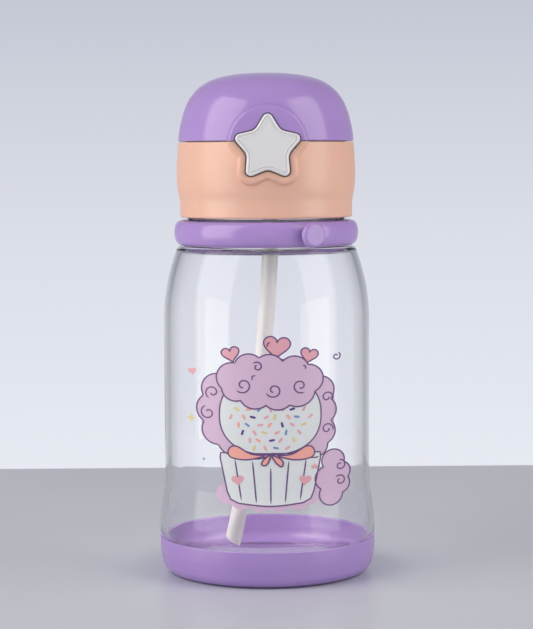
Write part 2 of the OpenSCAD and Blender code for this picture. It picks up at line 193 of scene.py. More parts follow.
def new_object(name, build):
    """An object whose mesh the function build fills."""
    mesh = bpy.data.meshes.new(name)
    filling = bmesh.new()
    build(filling)
    bmesh.ops.remove_doubles(filling, verts=filling.verts, dist=1e-7)
    bmesh.ops.recalc_face_normals(filling, faces=filling.faces)
    filling.to_mesh(mesh)
    filling.free()
    made = bpy.data.objects.new(name, mesh)
    bpy.context.collection.objects.link(made)
    return made


def add_mesh(name, build, finish, body, replaces=()):
    """A named piece whose mesh the function build fills, riding on a body, or on none yet."""
    piece = new_object(name, build)
    piece.data.materials.append(finish)
    soften(piece)
    if body:
        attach(piece, body)
    if replaces:
        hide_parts(*replaces)
    return piece


def soften(piece, angle=35):
    """Smooth shading, with edges sharper than angle kept crisp."""
    bpy.context.view_layer.objects.active = piece
    for other in bpy.context.selected_objects:
        other.select_set(False)
    piece.select_set(True)
    bpy.ops.object.shade_smooth_by_angle(angle=math.radians(angle))


def loft(filling, rings, closed=False, caps=True):
    """Skin between rings of equally many points; closed joins the last ring to the first."""
    loops = [[filling.verts.new(p) for p in ring] for ring in rings]
    pairs = list(zip(loops, loops[1:]))
    if closed:
        pairs.append((loops[-1], loops[0]))
    for low, high in pairs:
        for i in range(len(low)):
            j = (i + 1) % len(low)
            filling.faces.new((low[i], low[j], high[j], high[i]))
    if caps and not closed:
        filling.faces.new(list(reversed(loops[0])))
        filling.faces.new(loops[-1])
    return loops


def lathe(outline, segments=ROUND):
    """A builder that turns a closed outline of (radius, height) about Z."""

    def build(filling):
        rings = []
        for i in range(segments):
            a = 2 * math.pi * i / segments
            rings.append([mm(r * math.sin(a), -r * math.cos(a), z) for r, z in outline])
        loft(filling, rings, closed=True)

    return build


def boolean(piece, build, operation="DIFFERENCE"):
    """Cuts a helper solid from a piece, or adds it, and drops the helper."""
    cutter = new_object("cutter", build)
    modifier = piece.modifiers.new("cut", "BOOLEAN")
    modifier.operation = operation
    modifier.object = cutter
    modifier.solver = "EXACT"
    bpy.context.view_layer.objects.active = piece
    bpy.ops.object.modifier_apply(modifier=modifier.name)
    mesh = cutter.data
    bpy.data.objects.remove(cutter)
    bpy.data.meshes.remove(mesh)


def cut_level(filling, z, keep):
    """Cuts a solid off level and closes it; keep is 1 for the part above a height, -1 for the one below."""
    cut = bmesh.ops.bisect_plane(
        filling,
        geom=filling.verts[:] + filling.edges[:] + filling.faces[:],
        plane_co=mm(0, 0, z),
        plane_no=(0, 0, -keep),
        clear_outer=True,
    )
    edges = [part for part in cut["geom_cut"] if isinstance(part, bmesh.types.BMEdge)]
    bmesh.ops.edgeloop_fill(filling, edges=edges)


# ---------------------------------------------------------------- materials


def linear(colour):
    """Linear RGB and full alpha from an sRGB hex value."""
    parts = [int(colour[i : i + 2], 16) / 255 for i in (1, 3, 5)]
    return (*[p / 12.92 if p <= 0.04045 else ((p + 0.055) / 1.055) ** 2.4 for p in parts], 1)


def node(material, kind, settings=(), links=()):
    """Adds a shader node to a material or a world, with settings and incoming links {socket: output}."""
    made = material.node_tree.nodes.new(kind)
    for key, value in dict(settings).items():
        if isinstance(key, str) and hasattr(made, key):
            setattr(made, key, value)
        else:
            made.inputs[key].default_value = value
    for socket, output in dict(links).items():
        material.node_tree.links.new(output, made.inputs[socket])
    return made


def new_material(name):
    """An empty node material with its shader and output."""
    material = bpy.data.materials.new(name)
    material.use_nodes = True
    return material, material.node_tree.nodes["Principled BSDF"]


def ramp(material, factor, stops):
    """A colour ramp from [(position, hex)] stops, driven by a factor."""
    made = node(material, "ShaderNodeValToRGB", {}, {"Fac": factor})
    elements = made.color_ramp.elements
    elements[0].position, elements[0].color = stops[0][0], linear(stops[0][1])
    elements[1].position, elements[1].color = stops[-1][0], linear(stops[-1][1])
    for position, colour in stops[1:-1]:
        elements.new(position).color = linear(colour)
    return made


def waxy(ior, weight, *depths):
    """Settings for a plastic that lets light in, to a depth in mm for red, green and blue."""
    return {
        "IOR": ior,
        "Subsurface Weight": weight,
        "Subsurface Radius": tuple(depth / 1000 for depth in depths),
        "Subsurface Scale": 1.0,
    }


def moulded(name, low, high, rough, grain_mm, bump, settings=()):
    """Injection-moulded plastic or silicone: a faint tone drift, a fine skin grain and soft gloss."""
    material, shader = new_material(name)
    place = node(material, "ShaderNodeTexCoord")
    here = {"Vector": place.outputs["Object"]}
    drift = node(material, "ShaderNodeTexNoise", {"Scale": 28.0, "Detail": 3.0}, here)
    grain = node(material, "ShaderNodeTexNoise", {"Scale": 1000 / grain_mm, "Detail": 2.0}, here)
    tone = ramp(material, drift.outputs["Fac"], [(0.3, low), (0.7, high)])
    spread = {"To Min": rough * 0.9, "To Max": rough * 1.12}
    gloss = node(material, "ShaderNodeMapRange", spread, {"Value": grain.outputs["Fac"]})
    relief = {"Strength": bump, "Distance": 0.00006}
    skin = node(material, "ShaderNodeBump", relief, {"Height": grain.outputs["Fac"]})
    links = material.node_tree.links
    links.new(tone.outputs["Color"], shader.inputs["Base Color"])
    links.new(gloss.outputs["Result"], shader.inputs["Roughness"])
    links.new(skin.outputs["Normal"], shader.inputs["Normal"])
    for key, value in dict(settings).items():
        shader.inputs[key].default_value = value
    return material


# Glossy moulded polypropylene: an even lilac that lets a little light in, under a smooth clear sheen
lilac_pp = moulded(
    "lilac_moulded_polypropylene", "#A587CA", "#AB8ECF", 0.17, 1.6, 0.05, waxy(1.49, 0.12, 2, 1.2, 2)
)
# Satin moulded polypropylene: a warm peach with a broad, soft reflection
peach_pp = moulded(
    "peach_satin_polypropylene", "#E1B19D", "#E6B9A6", 0.33, 0.9, 0.12, waxy(1.49, 0.12, 3, 1.5, 1)
)
# Moulded ABS with a pale grey pigment: opaque, satin
grey_abs = moulded("silver_grey_abs", "#D6D6DA", "#DDDDE1", 0.22, 1.2, 0.06, {"IOR": 1.52})
# Unpigmented white polypropylene of the inner parts: satin and slightly waxy
white_pp = moulded("white_polypropylene", "#E6E6E4", "#EFEFED", 0.38, 1.0, 0.1, waxy(1.49, 0.1, 2, 2, 2))
# Translucent silicone: milky, dull and soft
milky_silicone = moulded("milky_silicone", "#DEDEDC", "#EAEAE8", 0.45, 0.7, 0.14, waxy(1.41, 0.35, 4, 4, 4))
# Thin silicone tube: milky, and light comes through its wall
straw_silicone = moulded("straw_silicone", "#CFCCD2", "#D8D5DB", 0.3, 0.8, 0.08, waxy(1.41, 0.6, 6, 6, 6))
# Drawn stainless wire: bright, with fine lines from the die
wire_steel = moulded("drawn_stainless_steel", "#B8BAC0", "#C9CBD0", 0.28, 0.4, 0.2, {"Metallic": 1.0})


def clear_copolyester():
    """Polished clear copolyester: glassy, faintly cool, with the slow ripple of a blown wall."""
    material, shader = new_material("clear_copolyester")
    place = node(material, "ShaderNodeTexCoord")
    here = {"Vector": place.outputs["Object"]}
    long = {"Vector": node(material, "ShaderNodeMapping", {"Scale": (1, 1, 0.35)}, here).outputs["Vector"]}
    ripple = node(material, "ShaderNodeTexNoise", {"Scale": 45.0, "Detail": 1.0}, long).outputs["Fac"]
    wave = node(material, "ShaderNodeBump", {"Strength": 0.12, "Distance": 0.0006}, {"Height": ripple})
    haze = node(material, "ShaderNodeMapRange", {"To Min": 0.0, "To Max": 0.03}, {"Value": ripple})
    material.node_tree.links.new(wave.outputs["Normal"], shader.inputs["Normal"])
    material.node_tree.links.new(haze.outputs["Result"], shader.inputs["Roughness"])
    shader.inputs["Base Color"].default_value = linear("#FEFEFF")
    shader.inputs["IOR"].default_value = 1.45
    shader.inputs["Specular Tint"].default_value = (0.35, 0.35, 0.35, 1)
    shader.inputs["Transmission Weight"].default_value = 1.0
    return material


clear_plastic = clear_copolyester()


def ink(name, colour):
    """Screen-printed ink: opaque, matt, with the faint mottle of a printed layer."""
    material, shader = new_material(name)
    here = {"Vector": node(material, "ShaderNodeTexCoord").outputs["Object"]}
    mottle = node(material, "ShaderNodeTexNoise", {"Scale": 900.0, "Detail": 4.0}, here)
    spread = {"To Min": 0.94, "To Max": 1.04}
    shade = node(material, "ShaderNodeMapRange", spread, {"Value": mottle.outputs["Fac"]}).outputs["Result"]
    grey = node(material, "ShaderNodeCombineColor", {}, {0: shade, 1: shade, 2: shade}).outputs[0]
    mixing = {"data_type": "RGBA", "blend_type": "MULTIPLY", "Factor": 1.0, 6: linear(colour)}
    tint = node(material, "ShaderNodeMix", mixing, {7: grey})
    material.node_tree.links.new(tint.outputs[2], shader.inputs["Base Color"])
    shader.inputs["Roughness"].default_value = 0.45
    return material


inks = {
    "lilac": ink("ink_lilac", "#D2B5D3"),
    "outline": ink("ink_purple_outline", "#6A4A80"),
    "pink": ink("ink_pink", "#E1A5B4"),
    "pale": ink("ink_pale_grey", "#DCE1E6"),
    "coral": ink("ink_coral", "#EFA99F"),
    "yellow": ink("ink_yellow", "#DDCB8A"),
    "blue": ink("ink_blue", "#7E93C0"),
    "violet": ink("ink_violet", "#5B3A8E"),
}


# ---------------------------------------------------------------- bottle


def bottle_side(inset=0.0, top=NECK_BASE_Z - 0.6, steps=24):
    """Side of the bottle from the foot up along the shoulder to a height."""
    low, high = FLARE
    flare = []
    for i in range(steps + 1):
        t = 1 - i / steps
        swell = (FOOT_R - BARREL_R) * t * t * (3 - 2 * t)
        flare.append((BARREL_R - inset + swell, high + (low - high) * t))
    end = math.degrees(math.asin((top - SHOULDER_Z) / (SHOULDER_ARC - inset)))
    return flare + arc((BARREL_R - SHOULDER_ARC, SHOULDER_Z), SHOULDER_ARC - inset, 0, end, steps)


def shoulder_edge(inset, top, radius):
    """The bottle's side run into a level top at a height, over a rounded edge."""
    reach = SHOULDER_ARC - inset
    turn = math.asin((top - radius - SHOULDER_Z) / (reach - radius))
    middle = (BARREL_R - SHOULDER_ARC + (reach - radius) * math.cos(turn), top - radius)
    side = bottle_side(inset, SHOULDER_Z + reach * math.sin(turn))
    return side + arc(middle, radius, math.degrees(turn), 90, 8)


def bottle_outline():
    """Section of the clear bottle: outer skin up to the rim, inner skin back down to the floor."""
    recess_r = FOOT_R - BOOT_WALL - 0.05
    floor_z, corner, inner_corner = 2.2, 5.5, 4.4
    roof = NECK_BASE_Z - SHOULDER_T
    outer = [(0, floor_z + 1.2), (22, floor_z + 1.2), (25, floor_z)]
    outer += arc((recess_r - corner, floor_z + corner), corner, -90, 0, 10)
    outer += [(recess_r, BOOT_H + 0.1)]
    outer += arc((FOOT_R - 0.1, BOOT_H + 0.2), 0.1, -90, 0, 4)
    outer += shoulder_edge(0, NECK_BASE_Z, 1.8)
    outer += arc((RING_SEAT_R + 0.5, NECK_BASE_Z + 0.5), 0.5, -90, -180, 5)
    outer += [(RING_SEAT_R, BEAD_Z - 0.1)]
    outer += arc((BEAD_R - BEAD_H / 2, BEAD_Z + BEAD_H / 2), BEAD_H / 2, -60, 60, 8)
    outer += arc((NECK_OUT + 0.3, BEAD_Z + BEAD_H + 0.35), 0.3, -90, -180, 4)
    outer += arc((NECK_OUT - 0.5, NECK_RIM_Z - 0.5), 0.5, 0, 90, 5)
    inner = [(0, floor_z + WALL + 1.4), (22, floor_z + WALL + 1.4), (25, floor_z + WALL + 0.2)]
    inner += arc((recess_r - WALL - inner_corner, floor_z + WALL + inner_corner), inner_corner, -90, 0, 10)
    inner += smooth([(recess_r - WALL, BOOT_H - 4), (recess_r - WALL + 0.4, BOOT_H - 2.3),
                     (FOOT_R - WALL - 0.3, BOOT_H - 0.7)], 4)
    inner += shoulder_edge(WALL, roof, 2)
    inner += arc((NECK_IN + 2, roof + 2), 2, 270, 180, 8)
    inner += arc((NECK_IN + 0.4, NECK_RIM_Z - 0.4), 0.4, 180, 90, 4)
    return outer + list(reversed(inner))


def thread_ridge(filling):
    """The screw thread round the neck, its ends run out to nothing."""
    root, depth, half_base, half_crest, run_out = NECK_OUT - 0.15, 1.35, 1.0, 0.5, 9
    steps = round(THREAD_TURNS * 72)
    rings = []
    for i in range(steps + 1):
        a = 2 * math.pi * THREAD_TURNS * i / steps
        top = root + depth * min(1, min(i, steps - i) / run_out + 0.02)
        z = THREAD_Z + PITCH * THREAD_TURNS * i / steps
        upper = [(top, half_crest - 0.1), (top - 0.15, half_crest + 0.1), (root, half_base)]
        section = [(r, -h) for r, h in reversed(upper)] + upper
        rings.append([mm(r * math.cos(a), r * math.sin(a), z + h) for r, h in section])
    loft(filling, rings)


def build_bottle(filling):
    """The blown body and the thread on its neck."""
    lathe(bottle_outline())(filling)
    thread_ridge(filling)


bottle = add_mesh("clear_bottle", build_bottle, clear_plastic, "bottle", ["bottle_body"])
bottle.visible_shadow = False


def boot_outline():
    """Section of the lilac boot, with its foot ring and rounded rim."""
    inner_r = FOOT_R - BOOT_WALL - 0.09
    rim_z, rim_edge, corner = BOOT_H + 0.12, 0.15, 5.5
    outline = [(0, 1.2), (21.4, 1.2)] + smooth([(21.8, 1.15), (22.8, 0.75), (23.6, 0.2), (24.2, 0)], 4)
    outline += smooth([(33, 0), (36.1, 0.7), (38.2, 2.6), (39.1, 5.2), (FOOT_R, 8.5)], 8)
    outline += arc((FOOT_R - rim_edge, rim_z - rim_edge), rim_edge, 0, 90, 5)
    outline += [(inner_r, rim_z)]
    outline += arc((inner_r - corner, 2 + corner), corner, 0, -90, 10)
    return outline + [(25, 2), (22, 3.2), (0, 3.2)]


add_mesh("base_boot_skin", lathe(boot_outline()), lilac_pp, "bottle", ["base_boot"])

# ---------------------------------------------------------------- strap ring and studs


def ring_outline():
    """Section of the strap ring: barrel-shaped outside, rolled edges."""
    belly = [(31.2, 4.55), (32.25, 4.2), (33.05, 3.4), (33.6, 2.0), (RING_OUT, 0)]
    outer = [(r, RING_MID - h) for r, h in belly] + [(r, RING_MID + h) for r, h in reversed(belly[:-1])]
    top = RING_Z + RING_H
    inner = [(RING_IN + 0.4, top), (RING_IN, top - 0.4), (RING_IN, RING_Z + 0.4), (RING_IN + 0.4, RING_Z)]
    return inner[2:] + smooth(outer, 5) + inner[:2]


add_mesh("strap_ring_skin", lathe(ring_outline()), lilac_pp, "ring", ["strap_ring"])


def build_studs(filling):
    """Two mushroom studs: a shank in the ring, a narrow neck and a domed head with a shallow dish."""
    head_z, shank_r = STUD_TIP - 2.2, 2.0
    outline = [(0, RING_IN + 0.5), (shank_r, RING_IN + 0.5), (shank_r, RING_OUT - 0.4)]
    outline += [(STUD_NECK_R + 0.9, RING_OUT - 0.35)]
    outline += smooth([(STUD_NECK_R + 0.7, RING_OUT - 0.1), (STUD_NECK_R + 0.15, RING_OUT + 0.15),
                       (STUD_NECK_R, RING_OUT + 0.5)], 3)
    outline += [(STUD_NECK_R, head_z), (STUD_HEAD_R - 0.35, head_z)]
    outline += arc((STUD_HEAD_R - 0.35, head_z + 0.35), 0.35, -90, 0, 4)
    outline += arc((STUD_HEAD_R - 1.1, STUD_TIP - 1.1), 1.1, 0, 90, 6)
    outline += [(1.6, STUD_TIP - 0.12), (0, STUD_TIP - 0.18)]
    for side in (0, 180):
        a = math.radians(STUD_TURN - 90 + side)
        turn = Vector((math.cos(a), math.sin(a), 0)).to_track_quat("Z", "Y").to_matrix().to_4x4()
        turn.translation = mm(0, 0, RING_MID)
        earlier = set(filling.verts)
        lathe(outline, 48)(filling)
        stud = [vert for vert in filling.verts if vert not in earlier]
        bmesh.ops.transform(filling, matrix=turn, verts=stud)


add_mesh("strap_stud_pair", build_studs, lilac_pp, "ring", ["strap_studs"])

# ---------------------------------------------------------------- collar

COLLAR_MARKS = [(31.6, COLLAR_Z + 0.9), (31.55, 134.6), (31.7, 137.6), (32.35, 141), (32.7, 144.5),
                (32.75, 149), (32.5, 153), (LID_R, COLLAR_TOP - 0.5)]
COLLAR_SIDE = smooth(COLLAR_MARKS, 8)


def collar_outline():
    """Section of the peach collar with its pulled-in waist and rolled lower edge."""
    outline = [(COLLAR_IN, COLLAR_Z + 0.4), (COLLAR_IN + 0.4, COLLAR_Z)]
    outline += arc((30.95, COLLAR_Z + 0.6), 0.6, -90, -20, 5)
    outline += COLLAR_SIDE
    outline += arc((LID_R - 0.35, COLLAR_TOP - 0.3), 0.3, 20, 90, 4)
    return outline + [(COLLAR_IN + 0.2, COLLAR_TOP), (COLLAR_IN, COLLAR_TOP - 0.2)]


def surface_y(side, x, z):
    """Depth of a turned side's front at x and z."""
    r = radius_at(side, z)
    return -math.sqrt(max(r * r - x * x, 0))


def star_ring(grow, depth):
    """One loop of the star's outline at a depth, or at the depth that a function of x and z gives."""
    points = []
    for x, h in star(grow):
        z = STAR_Z + h
        y = depth(x, z) if callable(depth) else depth
        points.append(mm(x, y, z))
    return points


def collar_depth(below):
    """Depth a little under the collar's skin, so that a bead runs into it without a step."""
    return lambda x, z: surface_y(COLLAR_SIDE, x, min(z, COLLAR_TOP - 0.5)) + below


def no_further_than(ring, y):
    """The same loop, with points that stand in front of a depth moved back to it."""
    return [Vector((p.x, max(p.y, y / 1000), p.z)) for p in ring]


def build_border(filling):
    """The raised, rounded bead round the star's lower half, cut off at the parting line."""
    crest, back = BOSS_Y, -29.5
    bead = ((0.5, 0.18), (0.85, 0.03), (1.3, 0.0), (1.9, 0.02), (2.5, 0.2), (2.95, 0.6), (3.15, 1.1))
    rings = [star_ring(STAR_GAP, back), star_ring(STAR_GAP, crest + 0.45)]
    rings += [star_ring(grow, crest + depth) for grow, depth in bead]
    rings.append(no_further_than(star_ring(BORDER_W, collar_depth(-0.35)), crest + 1.3))
    rings.append(star_ring(BORDER_W + 0.12, collar_depth(-0.05)))
    rings.append(star_ring(BORDER_W + 0.1, collar_depth(0.6)))
    rings.append(star_ring(BORDER_W, back))
    loft(filling, rings, closed=True)
    cut_level(filling, COLLAR_TOP, -1)


def star_opening(filling):
    """A star-shaped bar along Y that cuts the star's opening."""
    loft(filling, [star_ring(STAR_GAP, CUT_FRONT), star_ring(STAR_GAP, CUT_BACK)])


def hinge_bar(radius, length, x=0, segments=64):
    """A round bar along the hinge's axis."""
    turns = [2 * math.pi * i / segments for i in range(segments)]
    circle = [(HINGE_Y + radius * math.cos(a), HINGE_Z + radius * math.sin(a)) for a in turns]
    ends = [[mm(x + end, y, z) for y, z in circle] for end in (-length / 2, length / 2)]
    return lambda filling: loft(filling, ends)


def box(low, high):
    """A box between two corners."""

    def build(filling):
        corners = ((low[0], low[1]), (high[0], low[1]), (high[0], high[1]), (low[0], high[1]))
        loft(filling, [[mm(x, y, z) for x, y in corners] for z in (low[2], high[2])])

    return build


def slab(profile, x0, x1, edge=0.25):
    """A plate between x0 and x1 with the outline profile in Y and Z, its long edges rounded."""

    def build(filling):
        middle = Vector((sum(p[0] for p in profile), sum(p[1] for p in profile))) / len(profile)
        rings = []
        for x, inset in ((x0, edge), (x0 + edge * 0.3, edge * 0.3), (x0 + edge, 0), (x1 - edge, 0),
                         (x1 - edge * 0.3, edge * 0.3), (x1, edge)):
            ring = []
            for p in profile:
                away = Vector(p) - middle
                q = middle + away * (1 - inset / away.length)
                ring.append(mm(x, q.x, q.y))
            rings.append(ring)
        loft(filling, rings)

    return build


def build_ears(filling):
    """The collar's two hinge ears, each a round eye on a web that runs down into the skin."""
    eye = arc((HINGE_Y, HINGE_Z), KNUCKLE_R, 180, 0, 15)
    web = [(HINGE_Y + KNUCKLE_R - 0.5, 155.6), (34.6, 153), (32.5, 150.3)]
    web += [(31.4, 149.6), (31.2, 152), (31.2, HINGE_Z)]
    for x in (-EAR_X, EAR_X):
        slab(eye + web, x - EAR_W / 2, x + EAR_W / 2)(filling)


collar = add_mesh("collar_skin", lathe(collar_outline()), peach_pp, "cap", ["collar_shell"])
boolean(collar, build_border, "UNION")
boolean(collar, build_ears, "UNION")
boolean(collar, star_opening)
boolean(collar, hinge_bar(KNUCKLE_ROOM, 2 * EAR_X - EAR_W))
boolean(collar, hinge_bar(1.02, 30))
boolean(collar, box((-COIL_SPACE, 28.5, HINGE_Z - 2.2), (COIL_SPACE, 33, HINGE_Z + 1)))
soften(collar)

# ---------------------------------------------------------------- lid


def lid_side(inset=0.0, steps=10):
    """Side of the lid from its lower edge to its crown, moved in by a wall thickness."""
    rise = LID_TOP - LID_Z
    marks = [(LID_R, 0, 1, 0), (31.85, 0.137, 1, 0), (31.1, 0.285, 1, 0.1), (29.9, 0.455, 0.95, 0.3),
             (27.9, 0.625, 0.8, 0.6), (24.7, 0.776, 0.55, 0.85), (20.4, 0.886, 0.35, 0.94),
             (14.2, 0.959, 0.15, 1), (7.1, 0.992, 0.05, 1), (0, 1, 0, 1)]
    return smooth([(r - inset * a, LID_Z + rise * h - inset * b) for r, h, a, b in marks], steps)


LID_SIDE = lid_side()


def lid_outline():
    """Section of the lid's shell."""
    outer = arc((LID_R - 0.4, LID_Z + 0.35), 0.35, -90, -10, 4) + [p for p in LID_SIDE if p[1] > LID_Z + 0.5]
    inner = [p for p in lid_side(LID_WALL) if p[1] > LID_Z + 0.4]
    return [(LID_R - LID_WALL, LID_Z)] + outer + list(reversed(inner))


def boss_ring(radius, depth, steps=96):
    """One loop of the round boss at a depth, or at the depth that a function of x and z gives."""
    points = []
    for i in range(steps):
        a = 2 * math.pi * i / steps
        x, z = radius * math.cos(a), BOSS_Z + radius * math.sin(a)
        points.append(mm(x, depth(x, z) if callable(depth) else depth, z))
    return points


def build_boss(filling):
    """The flat-faced round boss with its rolled edge, cut off at the parting line."""

    def skin(offset):
        return lambda x, z: surface_y(LID_SIDE, x, max(z, LID_Z + 0.5)) + offset

    edge = ((0.0, 1.15), (0.12, 0.8), (0.38, 0.45), (0.75, 0.18), (1.2, 0.03), (1.6, 0.0))
    rings = [boss_ring(BOSS_R - 1, -20), boss_ring(BOSS_R + 0.35, skin(0.5))]
    rings.append(boss_ring(BOSS_R + 0.38, skin(-0.03)))
    rings.append(no_further_than(boss_ring(BOSS_R + 0.08, skin(-0.25)), BOSS_Y + 1.5))
    rings.append(no_further_than(boss_ring(BOSS_R, skin(-0.7)), BOSS_Y + 1.3))
    rings += [boss_ring(BOSS_R - inward, BOSS_Y + depth) for inward, depth in edge]
    loft(filling, rings)
    cut_level(filling, LID_Z, 1)


def build_lid_knuckles(filling):
    """The lid's two hinge knuckles with the webs that carry them."""
    eye = arc((HINGE_Y, HINGE_Z), KNUCKLE_R, -180, 48, 19)
    web = [(33.4, 162.2), (31.7, 165.2), (30.4, 165.8), (30.7, 162), (31.0, 159.4)]
    for x in (-LID_KNUCKLE_X, LID_KNUCKLE_X):
        slab(eye + web, x - LID_KNUCKLE_W / 2, x + LID_KNUCKLE_W / 2)(filling)


ARM_X = (STAR_R - STAR_TIP) * math.cos(math.radians(18)) + STAR_TIP + STAR_GAP
ARM_Z = STAR_Z + (STAR_R - STAR_TIP) * math.sin(math.radians(18))
lid = add_mesh("lid_skin", lathe(lid_outline()), lilac_pp, "lid", ["lid_shell"])
boolean(lid, build_boss, "UNION")
boolean(lid, build_lid_knuckles, "UNION")
boolean(lid, lathe([(0, LID_Z - 1), (LID_R - LID_WALL, LID_Z - 1)] + lid_side(LID_WALL)))
boolean(lid, star_opening)
boolean(lid, box((-ARM_X, CUT_FRONT, 155), (ARM_X, CUT_BACK, ARM_Z)))
for ear in (-EAR_X, EAR_X):
    boolean(lid, hinge_bar(KNUCKLE_ROOM, EAR_W + 0.6, ear))
boolean(lid, hinge_bar(KNUCKLE_ROOM, 2 * COIL_SPACE))
boolean(lid, box((-COIL_SPACE, 28, LID_Z - 1), (COIL_SPACE, 33, HINGE_Z + 2.2)))
boolean(lid, hinge_bar(1.06, 30))
soften(lid)

# ---------------------------------------------------------------- star button


def build_star(filling):
    """The star: rolled edge, sunk margin and a raised inner star, on a stem."""
    edge = [(0.05, 0.6), (0.18, 0.32), (0.38, 0.1), (0.56, 0.01)]
    margin = [(0.7, 0.05), (0.84, 0.2), (0.95, 0.3), (1.2, 0.34), (1.32, 0.26)]
    inner_star = [(1.44, 0.06), (1.54, 0.0), (1.64, 0.02), (1.73, 0.12)]
    rings = [star_ring(0, STAR_BACK_Y), star_ring(0, STAR_FACE_Y + 0.85)]
    rings += [star_ring(-inward, STAR_FACE_Y + depth) for inward, depth in edge + margin + inner_star]
    loft(filling, rings)
    box((-5.5, STAR_BACK_Y - 0.3, 151.9), (5.5, -29.1, 157.4))(filling)


add_mesh("star_button_skin", build_star, grey_abs, "button", ["star_button"])

# ---------------------------------------------------------------- mouthpiece and straw


def mouthpiece_outline():
    """Section of the soft spout: a flange on the deck, a waisted neck and a rolled tip."""
    outline = [(2.6, 146.9), (6.3, 146.9), (6.6, 147.2), (6.6, DECK_Z), (5.15, DECK_Z), (5.15, DECK_TOP)]
    outline += [(7.7, DECK_TOP)] + arc((7.7, DECK_TOP + 0.3), 0.3, -90, 0, 3)
    outline += arc((7.5, DECK_TOP + 1.1), 0.5, 0, 90, 5)
    outline += smooth([(5.7, DECK_TOP + 1.6), (5.2, DECK_TOP + 1.9), (5.0, DECK_TOP + 2.6)], 3)
    outline += smooth([(5.0, 153), (4.5, 162), (4.3, 167.5), (4.9, 170.5), (4.7, 172.8), (3.7, 174.4),
                       (2.3, SPOUT_TOP), (1.6, SPOUT_TOP - 0.3), (1.2, SPOUT_TOP - 1.2)], 6)
    return outline + [(1.2, 161), (2.6, 159)]


SPOUT_SHAPE = lathe(mouthpiece_outline(), 64)
add_mesh("mouthpiece_skin", SPOUT_SHAPE, milky_silicone, "cap", ["mouthpiece"])


def build_straw(filling):
    """The bowed straw tube; its lower end is cut at an angle."""
    rings = []
    sweep = (STRAW_TOP - STRAW_END) / STRAW_BOW
    for radius, down in ((STRAW_R, True), (STRAW_BORE, False)):
        stations = range(61)
        for i in stations if down else reversed(stations):
            a = sweep * i / 60
            ring = []
            for k in range(32):
                u = 2 * math.pi * k / 32
                side = radius * math.cos(u)
                slip = a + (side / STRAW_BOW) * 0.55 * max(0, (i - 50) / 10)
                reach = STRAW_BOW + side
                ring.append(mm(BARB_X - STRAW_BOW + reach * math.cos(slip), radius * math.sin(u),
                               STRAW_TOP - reach * math.sin(slip)))
            rings.append(ring)
    loft(filling, rings, closed=True)


add_mesh("straw_tube", build_straw, straw_silicone, "cap", ["straw"])

# ---------------------------------------------------------------- springs


def wire(filling, path, radius, sides=10):
    """A round wire along a path of points in mm."""
    points = [Vector(p) for p in path]
    rings = []
    side = None
    for i, here in enumerate(points):
        along = (points[min(i + 1, len(points) - 1)] - points[max(i - 1, 0)]).normalized()
        side = along.orthogonal() if side is None else side - side.dot(along) * along
        side.normalize()
        other = along.cross(side)
        rings.append([(here + radius * (math.cos(2 * math.pi * k / sides) * side
                                        + math.sin(2 * math.pi * k / sides) * other)) / 1000
                      for k in range(sides)])
    loft(filling, rings)


def build_latch_spring(filling):
    """The small compression spring behind the latch slider, its coils at an even pitch."""
    front, back, turns = -20.4, -14.45, 6
    path = []
    for i in range(turns * 28 + 1):
        t = i / (turns * 28)
        a = 2 * math.pi * turns * t
        path.append((1.15 * math.cos(a), front + (back - front) * t, 152.9 + 1.15 * math.sin(a)))
    wire(filling, path, 0.2)


latch_spring = add_mesh(
    "latch_spring_wire", build_latch_spring, wire_steel, "cap", ["latch_spring"]
)
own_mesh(latch_spring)


def build_lid_spring(filling):
    """The lid's torsion spring: a coil on the pin, with one leg on the deck and one on the lid's liner."""
    turns, half, reach, coil_r = 4.5, 2.7, 6.4, 1.55
    path = [(-half, HINGE_Y - reach, HINGE_Z - coil_r), (-half, HINGE_Y - 0.9, HINGE_Z - coil_r)]
    for i in range(round(turns * 32) + 1):
        a = math.radians(-90 - 360 * i / 32)
        x = half * (2 * i / (turns * 32) - 1)
        path.append((x, HINGE_Y - coil_r * math.cos(a), HINGE_Z + coil_r * math.sin(a)))
    path += [(half, HINGE_Y - 0.9, HINGE_Z + coil_r), (half, HINGE_Y - reach, HINGE_Z + coil_r)]
    wire(filling, path, 0.28)


lid_spring = add_mesh("lid_spring_wire", build_lid_spring, wire_steel, None, ["lid_spring"])
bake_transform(lid_spring)

# ---------------------------------------------------------------- printed picture

PRINT_SIDE = bottle_side()
PRINT_X = -0.5
PRINT_Z = 7.25
PRINT_SCALE = 0.943


def cloud(centre, puffs, steps=220):
    """Scalloped outline round a centre: the outside of several overlapping puffs (x, z, radius)."""
    points = []
    for i in range(steps):
        a = 2 * math.pi * i / steps
        way = Vector((math.cos(a), math.sin(a)))
        reach = 0
        for x, z, radius in puffs:
            off = Vector((x - centre[0], z - centre[1]))
            along = off.dot(way)
            room = radius * radius - off.length_squared + along * along
            if room > 0:
                reach = max(reach, along + math.sqrt(room))
        points.append((centre[0] + reach * way.x, centre[1] + reach * way.y))
    return points


def oval(x, z, half_w, half_h, power=2.0, steps=120):
    """A rounded outline; a power above 2 makes it squarer."""
    points = []
    for i in range(steps):
        a = 2 * math.pi * i / steps
        c, s = math.cos(a), math.sin(a)
        points.append((x + half_w * math.copysign(abs(c) ** (2 / power), c),
                       z + half_h * math.copysign(abs(s) ** (2 / power), s)))
    return points


def heart(x, z, size, lean=0.0, steps=48):
    """A heart outline about its middle."""
    points = []
    turn = Vector((math.cos(math.radians(lean)), math.sin(math.radians(lean))))
    scale = size * 0.031
    for i in range(steps):
        t = 2 * math.pi * i / steps
        waves = 13 * math.cos(t) - 5 * math.cos(2 * t) - 2 * math.cos(3 * t) - math.cos(4 * t)
        u, v = scale * 16 * math.sin(t) ** 3, scale * (waves + 2.5)
        points.append((x + u * turn.x - v * turn.y, z + u * turn.y + v * turn.x))
    return points


